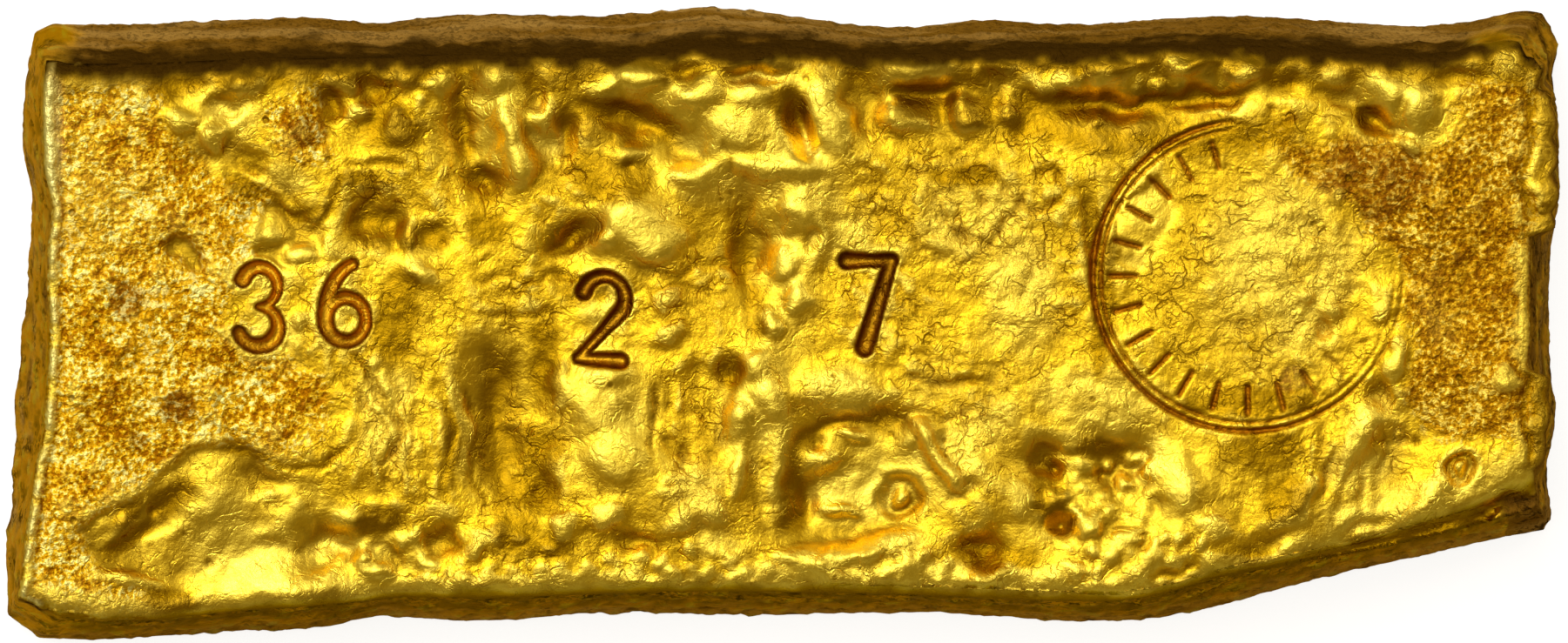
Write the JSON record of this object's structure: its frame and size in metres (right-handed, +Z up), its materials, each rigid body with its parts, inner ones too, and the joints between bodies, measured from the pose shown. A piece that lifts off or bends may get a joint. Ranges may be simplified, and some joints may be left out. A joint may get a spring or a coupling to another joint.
{
  "type": "cast metal ingot",
  "caption": "Rough hand-poured bar of yellow gold with a wavy outline, tapered flanks, a lumpy upper face, punched figures and a round die's border.",
  "frame": {"origin": "middle of the foot's plane, below the middle of the bar's outline", "axes": "+X along the bar towards the end with the round die, +Y across it, +Z up out of the punched upper face"},
  "size_m": [0.0892, 0.0364, 0.0104],
  "materials": {
    "gold": "satin"
  },
  "bodies": {
    "root": {"ingot": "gold"}
  },
  "joints": []
}
